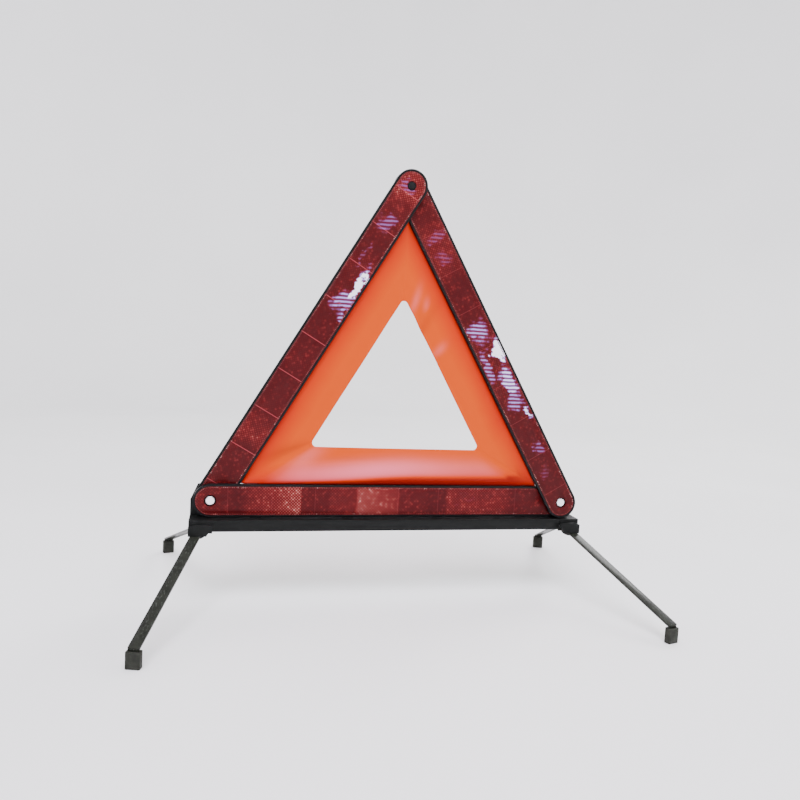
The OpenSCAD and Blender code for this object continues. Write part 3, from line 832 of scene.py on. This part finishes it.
# Plane of each arm as depth = a + b x + c z, in the frame of the pivots
planes = []
for arm in ("bottom", "right", "left"):
    to_world = ARM_FRAMES[arm]
    spots = [to_world @ Vector((x, HEM_DEPTH, z)) for x, z in ((0, 0), (SPAN, 0), (0, 0.02))]
    rows = np.array([[1, p.x, p.z - PIVOT_HEIGHT] for p in spots])
    planes.append(np.linalg.solve(rows, np.array([p.y for p in spots])))


def side_distance(k, point):
    """Distance from the pivot line of side k, inwards."""
    direction = (CORNERS[(k + 1) % 3] - CORNERS[k]) / SPAN
    return float(np.dot(point - CORNERS[k], np.array([-direction[1], direction[0]])))


def from_arms(point):
    """Distance from the nearest arm's edge, inwards."""
    return min(side_distance(k, point) for k in range(3)) - ARM_RADIUS


def film_depth(point):
    """Depth where the film hangs taut: the three arm planes, the nearest one weighing most."""
    weights, depths = [], []
    for k, plane in enumerate(planes):
        clear = max(side_distance(k, point) - ARM_RADIUS, 0) + 1.5 * MM
        weights.append(clear ** -1.6)
        depths.append(plane[0] + plane[1] * point[0] + plane[2] * point[1])
    return float(np.dot(weights, depths) / np.sum(weights))


# %% [markdown]
# Sides are counted from the bottom one: 0 is the bottom, 1 the right and 2 the left. A place on the
# film is a side, the share of that side's length, and how far inwards it is, 0 at the arm and 1 at
# the window. Two functions say what happens there: `slack` how far the film stands out, and the
# second how much painted sheen (pale pink) and painted shade (deep red) its colour gets on the folds.

# %% Folds of the slack film
BOTTOM, RIGHT = 0, 1


def hump(value, centre, width):
    """A smooth bump of height 1."""
    return math.exp(-((value - centre) / width) ** 2)


def fold(share, inwards, height, place, width, depth, reach):
    """A hump of a height at one place along a side and one depth inwards."""
    return height * hump(share, place, width) * hump(inwards, depth, reach)


def ramp_up(value, start, end):
    """0 before start, 1 after end, smooth between."""
    t = min(1.0, max(0.0, (value - start) / (end - start)))
    return t * t * (3 - 2 * t)


def ridge_line(share):
    """Where the ridge of the bottom band runs: close to the arm at the left, further at the right."""
    return 0.12 + 0.2 * ramp_up(share, 0.05, 0.6)


def slack(side, share, inwards):
    """How many millimetres the film stands out towards the viewer."""
    along = math.sin(math.pi * share) ** 0.8
    belly = math.sin(math.pi * inwards) * along
    if side == BOTTOM:
        ridge = ridge_line(share)
        fall = 1 - 0.72 * (inwards - ridge) / (1 - ridge)
        rise = ramp_up(inwards, 0.0, ridge) if inwards < ridge else fall
        return 6.8 * rise * along - hump(inwards, 0.62 + 0.2 * share, 0.07) * hump(share, 0.3, 0.22)
    if side == RIGHT:
        pucker = fold(share, inwards, 1.8, 0.83, 0.03, 0.85, 0.3)
        pucker -= 1.7 * hump(share, 0.75, 0.035) * inwards
        pull = fold(share, inwards, 1.2, 0.6, 0.025, 0.8, 0.25)
        return pucker + pull + 0.6 * math.sin(9 * share + 2.2) * inwards + 1.6 * belly
    crease = 1.3 * hump(share, 0.12, 0.05) * inwards
    return crease + 0.6 * math.sin(11 * share + 3 * inwards) * inwards * along + 1.2 * belly


def painted_sheen_shade(side, share, inwards):
    """Painted sheen (above 0, pale pink) and painted shade (below 0, deep red) of the folded film."""
    if side == BOTTOM:
        ridge = ridge_line(share)
        # Painted sheen: a pale pink band above the ridge, where the fold faces up
        pink = hump(inwards, ridge + 0.2, 0.24) * ramp_up(inwards, ridge - 0.04, ridge + 0.1)
        pink *= 0.35 + 0.65 * hump(share, 0.42, 0.26)
        pink *= ramp_up(share, 0.02, 0.16) * (1 - ramp_up(share, 0.86, 0.99))
        # Painted shade: deep red between the arm and the ridge, where the fold faces down
        red = (1 - ramp_up(inwards, ridge - 0.08, ridge + 0.02)) * ramp_up(share, 0.12, 0.45)
        return pink + fold(share, inwards, 0.35, 0.1, 0.06, 0.75, 0.35) - 0.9 * red
    if side == RIGHT:
        # Painted sheen and shade: pale streaks on the puckers by the window, and one darker line
        streaks = fold(share, inwards, 0.32, 0.855, 0.02, 0.8, 0.25)
        streaks += fold(share, inwards, 0.26, 0.79, 0.02, 0.6, 0.12)
        streaks += fold(share, inwards, 0.3, 0.61, 0.018, 0.8, 0.2)
        return streaks - 0.25 * hump(share, 0.745, 0.025) * inwards
    # Painted shade: deeper red near the lower end of the left side
    return -fold(share, inwards, 0.35, 0.93, 0.04, 0.6, 0.4)


# %% Film mesh
ACROSS = 34                 # rings of faces between the outer cut and the window
PER_SIDE = 96               # points of a ring on each side
FILM_THICKNESS = 0.15 * MM
SOFT_CORNER = 0.06          # share of a side over which its folds run into the next side's
FREE_FROM = 5 * MM          # the film is free to stand out this far from an arm

verts, from_arm, painted_sheen_shade_values = [], [], []
for ring in range(ACROSS + 1):
    inwards = ring / ACROSS
    for side in range(3):
        for step in range(PER_SIDE):
            share = step / PER_SIDE
            point = (1 - inwards) * outer_cut(side, share) + inwards * window_edge(side, share)
            # Where two sides meet, the folds of both are mixed so that the crease stays soft
            other, near = ((side + 2) % 3, share) if share < 0.5 else ((side + 1) % 3, 1 - share)
            mix = 0.5 + 0.5 * min(1.0, near / SOFT_CORNER)
            out, sheen_shade_here = (mix * here(side, share, inwards) + (1 - mix) * here(other, 1 - share, inwards)
                          for here in (slack, painted_sheen_shade))
            free = min(1.0, max(0.0, from_arms(point) / FREE_FROM))
            verts.append((point[0], film_depth(point) - out * MM * free, PIVOT_HEIGHT + point[1]))
            from_arm.append(from_arms(point))
            painted_sheen_shade_values.append(sheen_shade_here)
loop = 3 * PER_SIDE
faces = [(r * loop + i, r * loop + (i + 1) % loop, (r + 1) * loop + (i + 1) % loop, (r + 1) * loop + i)
         for r in range(ACROSS) for i in range(loop)]
film = bpy.data.meshes.new("film")
film.from_pydata(verts, [], faces)
film.attributes.new("from_arm", "FLOAT", "POINT").data.foreach_set("value", from_arm)
film.attributes.new("painted_sheen_shade", "FLOAT", "POINT").data.foreach_set("value", painted_sheen_shade_values)

# %% [markdown]
# The film's colour runs from a glowing red-orange at the arms to a paler orange by the window. Its
# surface is calendered PVC: semi-gloss, with a faint orange peel. A little emission stands for
# the fluorescent dye, which sends back more orange light than falls on it.

# %% Film material and piece
def fluorescent_pvc():
    """Fluorescent film, painted redder near the arms, with painted sheen and shade on its folds."""
    material, tree = blank_material("fluorescent_pvc")
    place = object_place(tree)
    reach = add(tree, "ShaderNodeAttribute", attribute_name="from_arm").outputs["Fac"]
    sheen_and_shade = add(tree, "ShaderNodeAttribute", attribute_name="painted_sheen_shade").outputs["Fac"]
    drift = chain(tree, noise(tree, place, 60, 2.0), ("MULTIPLY", 0.012), ("ADD", reach))
    # Painted glow: the colour is drawn redder and deeper towards the arms
    tone = ramp(tree, remap(tree, drift, (0.004, 0.03), (0.0, 1.0)),
                (0.0, "#9a1000"), (0.4, "#ab2a00"), (1.0, "#b53f00"))
    # Painted sheen: pale pink where the folds face up
    tone = blend(tree, clamped(tree, chain(tree, sheen_and_shade, ("MULTIPLY", 0.58))), tone, "#e0708c")
    # Painted shade: deep red where the folds face down
    tone = blend(tree, clamped(tree, chain(tree, sheen_and_shade, ("MULTIPLY", -1.0))), tone, "#700700")
    # A tray's rim shades the film right beside it
    rim = remap(tree, reach, (0.3 * MM, 1.8 * MM), (0.8, 0.0))
    tone = blend(tree, rim, tone, "#2c0602")
    peel = noise(tree, place, 1.6, 2.0)
    principled(tree, {
        "Base Color": tone, "Roughness": 0.4, "IOR": 1.53, "Specular IOR Level": 0.08,
        "Normal": relief(tree, peel, 0.05, 0.25),
        "Emission Color": tone, "Emission Strength": 0.5})
    return material


pvc = fluorescent_pvc()
maker = bpy.data.objects.new("maker", film)
bpy.context.scene.collection.objects.link(maker)
film.shade_smooth()
thickness = maker.modifiers.new("thickness", "SOLIDIFY")
thickness.thickness = FILM_THICKNESS
thickness.offset = 0
film_piece = piece("fluorescent_film", settled(maker), BODY_OF["foil"], pvc, SLOT_OF["foil"], "foil")
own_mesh(film_piece)

# %% [markdown]
# ## Studio
# A round pale floor runs up into a pale wall on all sides, so there is no horizon. Light comes from
# one large soft panel above, the open top, a weaker fill, and a card behind the right legs, which
# draws the long bright reflection on their flat tops.

# %% Floor, world and lights
def studio_floor(reach=1.9, bend=0.9, height=2.7, steps=48):
    """A round floor that curves up into a wall on all sides; sizes in metres."""
    profile = [(0.7, 0.0), (reach, 0.0)]
    profile += [(reach + bend * math.sin(a), bend - bend * math.cos(a))
                for a in np.linspace(0.1, math.pi / 2, 12)]
    profile.append((reach + bend, height))
    points = [(0, 0, 0)] + [(r * math.cos(t), r * math.sin(t), z) for r, z in profile
                            for t in np.linspace(0, 2 * math.pi, steps, endpoint=False)]
    fan = [(0, 1 + i, 1 + (i + 1) % steps) for i in range(steps)]
    quads = [(1 + r * steps + i, 1 + (r + 1) * steps + i, 1 + (r + 1) * steps + (i + 1) % steps,
              1 + r * steps + (i + 1) % steps) for r in range(len(profile) - 1) for i in range(steps)]
    mesh = bpy.data.meshes.new("studio_floor")
    mesh.from_pydata(points, [], fan + quads)
    mesh.shade_smooth()
    return mesh


paper, paper_tree = blank_material("pale_paper")
fibre = noise(paper_tree, object_place(paper_tree), 400, 2.0)
principled(paper_tree, {
    "Base Color": ramp(paper_tree, fibre, (0.3, "#fafafa"), (0.7, "#ffffff")), "Roughness": 0.9})
floor = bpy.data.objects.new("studio_floor", studio_floor())
floor.data.materials.append(paper)
bpy.context.scene.collection.objects.link(floor)

world = bpy.data.worlds.new("studio")
bpy.context.scene.world = world
world.use_nodes = True
sky = world.node_tree.nodes["Background"].inputs
sky["Color"].default_value = (1, 1, 1, 1)
sky["Strength"].default_value = 1.0


def panel(name, place, target, size, power, tint="#ffffff"):
    """A rectangular area light that faces a point."""
    data = bpy.data.lights.new(name, "AREA")
    data.shape = "RECTANGLE"
    data.size, data.size_y = size
    data.energy = power
    data.color = colour(tint)[:3]
    lamp = bpy.data.objects.new(name, data)
    lamp.location = place
    lamp.rotation_euler = (Vector(target) - Vector(place)).to_track_quat("-Z", "Y").to_euler()
    bpy.context.scene.collection.objects.link(lamp)


panel("top_panel", (-0.3, -1.0, 2.1), (0, 0, 0.2), (1.8, 1.4), 70, "#f6f2ff")
panel("side_fill", (1.8, -0.9, 1.0), (0, 0, 0.2), (1.0, 1.2), 6)
panel("rear_card", (1.5, 1.25, 1.75), (0.25, -0.1, 0.04), (0.9, 0.9), 26)
